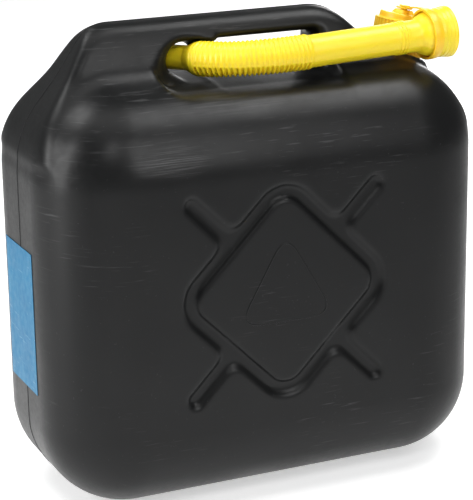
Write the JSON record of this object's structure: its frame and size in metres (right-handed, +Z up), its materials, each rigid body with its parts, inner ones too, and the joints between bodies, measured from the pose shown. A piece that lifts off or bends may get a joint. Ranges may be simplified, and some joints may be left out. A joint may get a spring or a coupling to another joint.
{
  "type": "fuel can",
  "caption": "Black moulded plastic fuel can with a handle in its top, a yellow screw cap on a strap, and a yellow flexible pouring spout stored in the handle.",
  "frame": {"origin": "middle of the base, on the surface that the can stands on", "axes": "+Z up, +X towards the filler neck, -Y the face in front of which the stored spout lies"},
  "size_m": [0.38, 0.2, 0.386],
  "materials": {
    "black_polyethylene": "semi-matt blow moulded skin with a broad soft sheen",
    "yellow_cap": "smooth moulded polyethylene",
    "yellow_spout": "smooth soft polyethylene",
    "blue_label": "plain satin film",
    "black_seal": "matt"
  },
  "bodies": {
    "can": {"can_body": "black_polyethylene", "side_label": "blue_label"},
    "liner": {"cap_seal": "black_seal", "cap_strap": "yellow_cap"},
    "cap": {"filler_cap": "yellow_cap"},
    "tip": {"spout_tip": "yellow_spout", "spout_bellows": "yellow_spout"},
    "tube": {"spout_tube": "yellow_spout", "spout_washer": "black_seal"},
    "nut": {"spout_nut": "yellow_spout"}
  },
  "joints": [
    {"name": "cap_lift", "type": "slide", "parent": "can", "child": "liner", "axis": [0.2079, 0, 0.9781], "range_m": [0, 0.018], "deforming": ["cap_strap"]},
    {"name": "cap_turn", "type": "hinge", "parent": "liner", "child": "cap", "pos_m": [0.1455, 0, 0.334], "axis": [0.2079, 0, 0.9781], "range_deg": [0, 1080]},
    {"name": "spout_out", "type": "slide", "parent": "can", "child": "tip", "axis": [0.573, -0.8192, 0.025], "range_m": [0, 0.12]},
    {"name": "spout_swing", "type": "hinge", "parent": "tip", "child": "tube", "pos_m": [-0.01867, -0.049, 0.35361], "axis": [-0.0436, 0, 0.999], "range_deg": [-55, 0], "deforming": ["spout_bellows"]},
    {"name": "nut_turn", "type": "hinge", "parent": "tube", "child": "nut", "pos_m": [0.1666, -0.049, 0.3617], "axis": [0.999, 0, 0.0436], "continuous": true}
  ],
  "couplings": [
    {"joint": "cap_lift", "follows": "cap_turn", "m_per_rad": 0.00095493}
  ]
}
